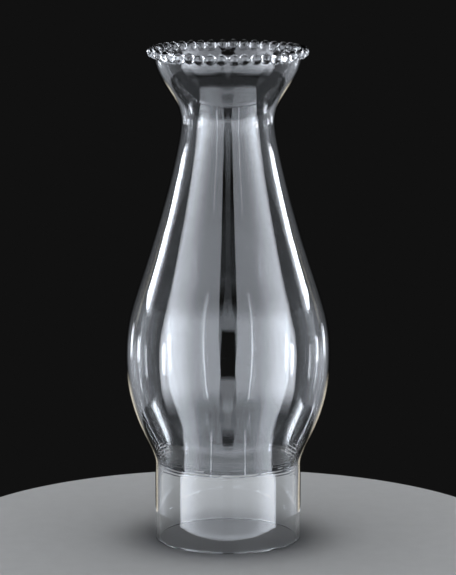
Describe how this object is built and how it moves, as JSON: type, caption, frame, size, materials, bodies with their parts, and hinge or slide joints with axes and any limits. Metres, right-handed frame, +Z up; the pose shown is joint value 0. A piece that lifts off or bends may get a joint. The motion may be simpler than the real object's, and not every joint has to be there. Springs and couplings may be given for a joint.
{
  "type": "oil lamp chimney",
  "caption": "Clear glass oil lamp chimney: straight collar, rounded bulge, long waist, narrow neck and flared cup with a rim crimped into pearls, open at both ends.",
  "frame": {"origin": "centre of the foot, on the plane that the chimney stands on", "axes": "+Z up the chimney's axis, from the foot to the pearls; X and Y are radial and alike"},
  "size_m": [0.1054, 0.1054, 0.254],
  "materials": {
    "clear_glass": "clear, glossy, fire-polished"
  },
  "bodies": {
    "root": {"chimney": "clear_glass"}
  },
  "joints": []
}
